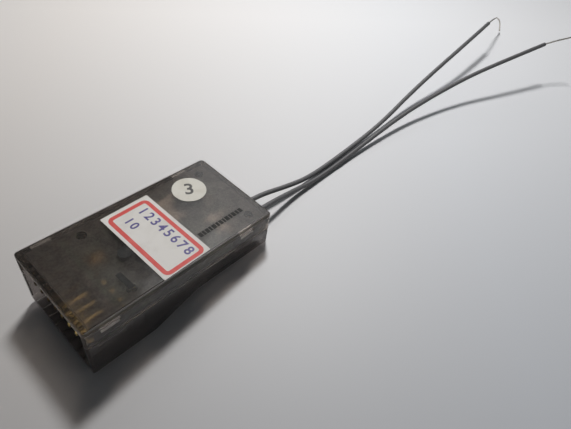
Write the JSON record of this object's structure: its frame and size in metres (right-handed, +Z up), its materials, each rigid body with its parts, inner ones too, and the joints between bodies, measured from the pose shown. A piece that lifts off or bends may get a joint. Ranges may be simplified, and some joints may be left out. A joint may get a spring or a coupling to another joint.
{
  "type": "rc receiver",
  "caption": "Small radio control receiver in a smoke plastic case with an open servo header at one end and thin aerial leads at the other.",
  "frame": {"origin": "on the table, under the middle of the case as it lies on its stepped face", "axes": "+X along the case from the servo header to the aerials, +Y across it, +Z up; the case lies tipped about Y by the angle at which its stepped face rests"},
  "size_m": [0.1844, 0.0446, 0.0159],
  "materials": {
    "smoke_plastic": "smoke-tinted clear moulding, frosted back",
    "board": "satin solder mask",
    "header_plastic": "satin",
    "gold": "polished plating",
    "tin": "tin plate",
    "chip_plastic": "moulding compound, matt",
    "ferrite": "matt",
    "ceramic": "matt",
    "lamp": "clear cast",
    "tantalum": "satin",
    "lead_jacket": "satin grey sheath",
    "bare_wire": "tinned wire",
    "label_paper": "matt paper",
    "plate": "satin film"
  },
  "bodies": {
    "root": {"case_base": "smoke_plastic", "case_lid": "smoke_plastic", "main_board": "board", "header_board": "board", "signal_strip": "header_plastic", "power_strip": "header_plastic", "ground_strip": "header_plastic", "signal_pins": "gold", "power_pins": "gold", "ground_pins": "gold", "shield_can": "tin", "radio_chip": "chip_plastic", "microcontroller": "chip_plastic", "crystal": "tin", "inductor": "ferrite", "band_filter": "ceramic", "status_lamp": "lamp", "tantalum_input": "tantalum", "tantalum_radio": "tantalum", "voltage_regulator": "chip_plastic", "chip_parts": "ceramic", "reservoir_capacitor": "tin", "coax_socket_a": "gold", "coax_socket_b": "gold", "coax_plug_a": "gold", "coax_plug_b": "gold", "coax_tail_a": "lead_jacket", "coax_tail_b": "lead_jacket", "aerial_lead_a": "lead_jacket", "aerial_lead_b": "lead_jacket", "aerial_wire_a": "bare_wire", "aerial_wire_b": "bare_wire", "back_label": "label_paper", "round_sticker": "label_paper", "front_plate": "plate"}
  },
  "joints": []
}
